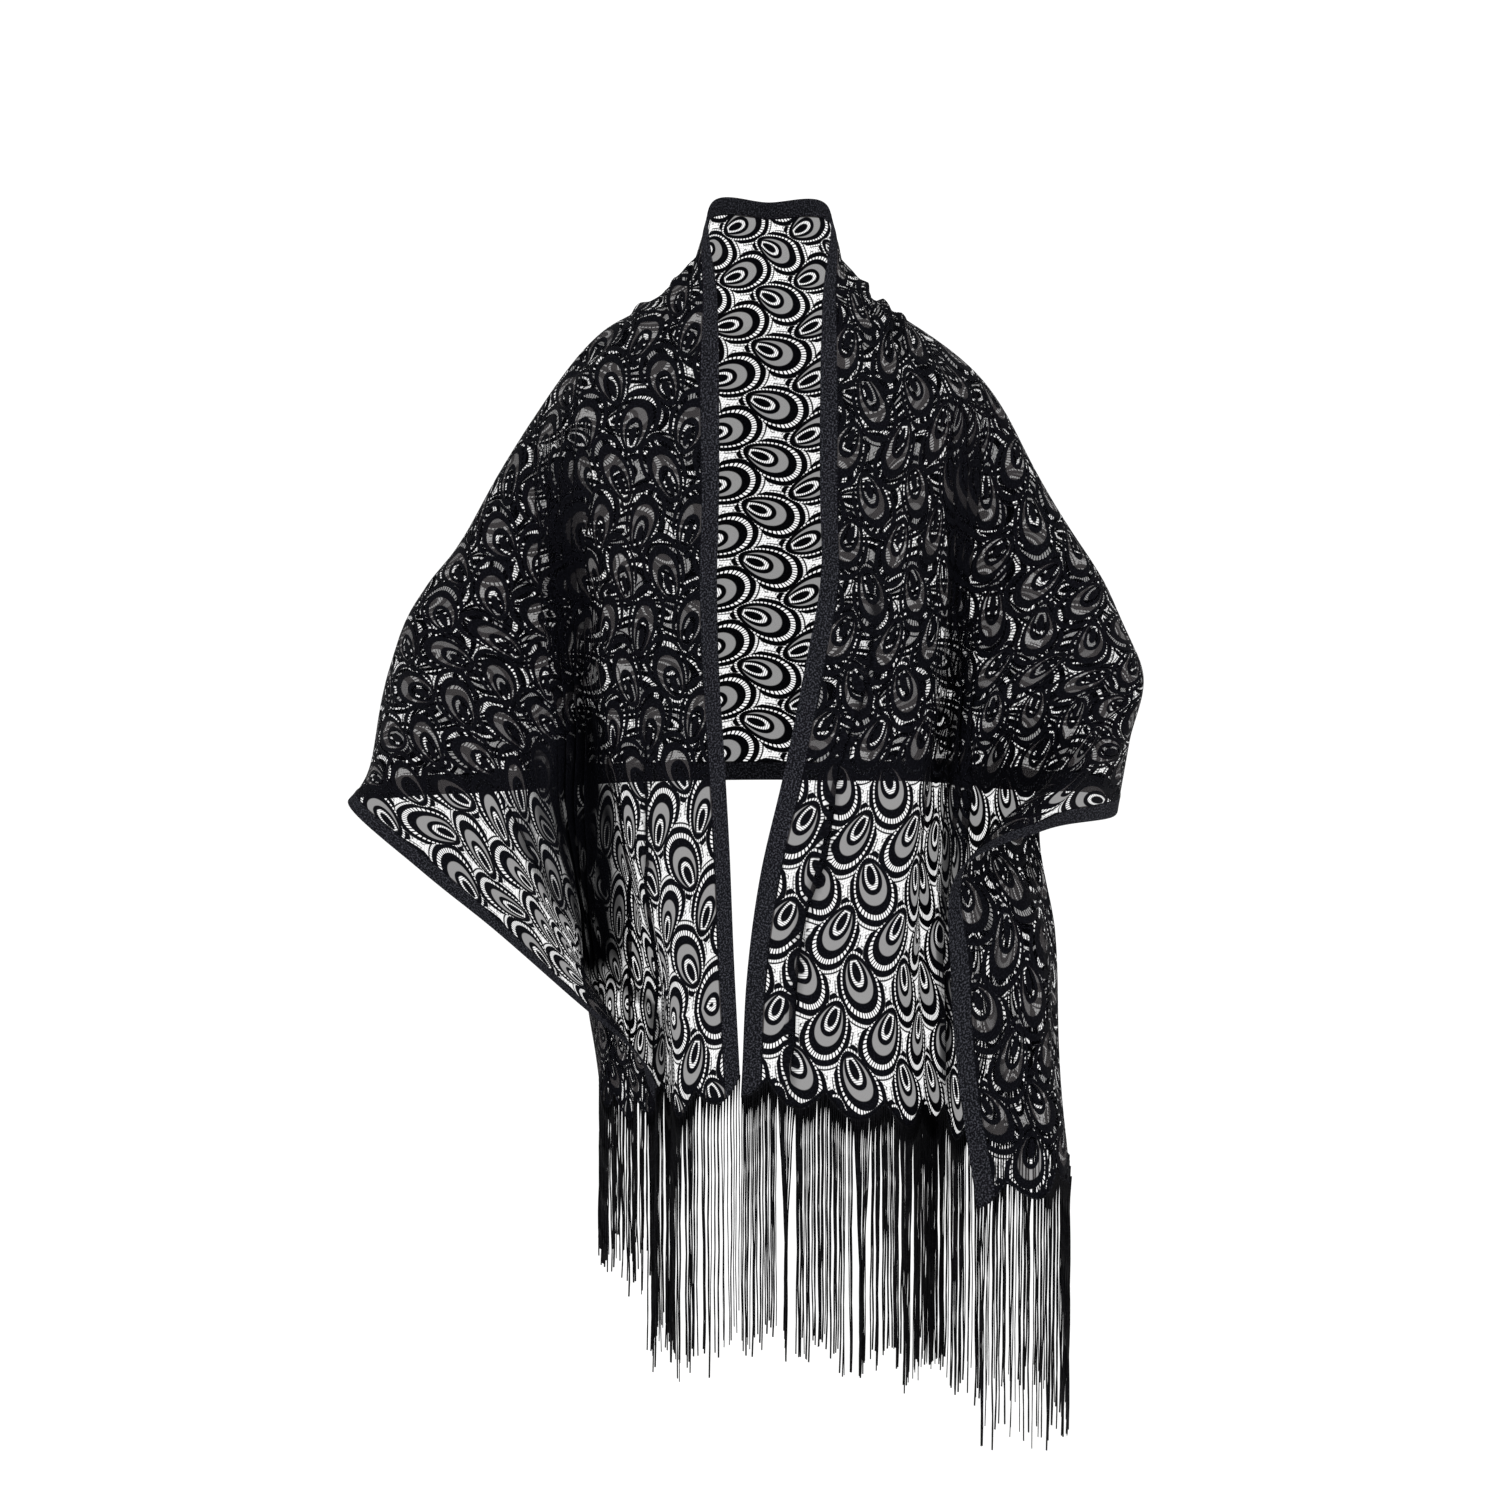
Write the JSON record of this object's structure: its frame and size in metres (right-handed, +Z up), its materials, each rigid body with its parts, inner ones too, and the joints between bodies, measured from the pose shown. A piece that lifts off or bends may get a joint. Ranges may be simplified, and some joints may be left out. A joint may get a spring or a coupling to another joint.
{
  "type": "lace shawl",
  "caption": "Dark knitted lace shawl with scalloped, fringed ends, kept in the hollow form it has when worn open over the shoulders.",
  "frame": {"origin": "middle of the wearer's neck base, level with the tops of the shoulders, where the shawl is held up", "axes": "+X to the right as seen from in front, -Y towards the front of the wearer, +Z up"},
  "size_m": [0.7934, 0.2935, 1.2277],
  "materials": {
    "fringe_left": "fine dark yarn, slightly glossy",
    "fringe_right": "fine dark yarn, slightly glossy",
    "hem_band": "plain dense knit, matt",
    "lace_back": "open lace knit, matt with a faint sheen",
    "lace_left": "open lace knit, matt with a faint sheen",
    "lace_right": "open lace knit, matt with a faint sheen",
    "neck_band": "plain dense knit, matt"
  },
  "bodies": {
    "root": {"fringe_left": "fringe_left", "fringe_right": "fringe_right", "hem_band": "hem_band", "lace_back": "lace_back", "lace_left": "lace_left", "lace_right": "lace_right", "neck_band": "neck_band"}
  },
  "joints": []
}
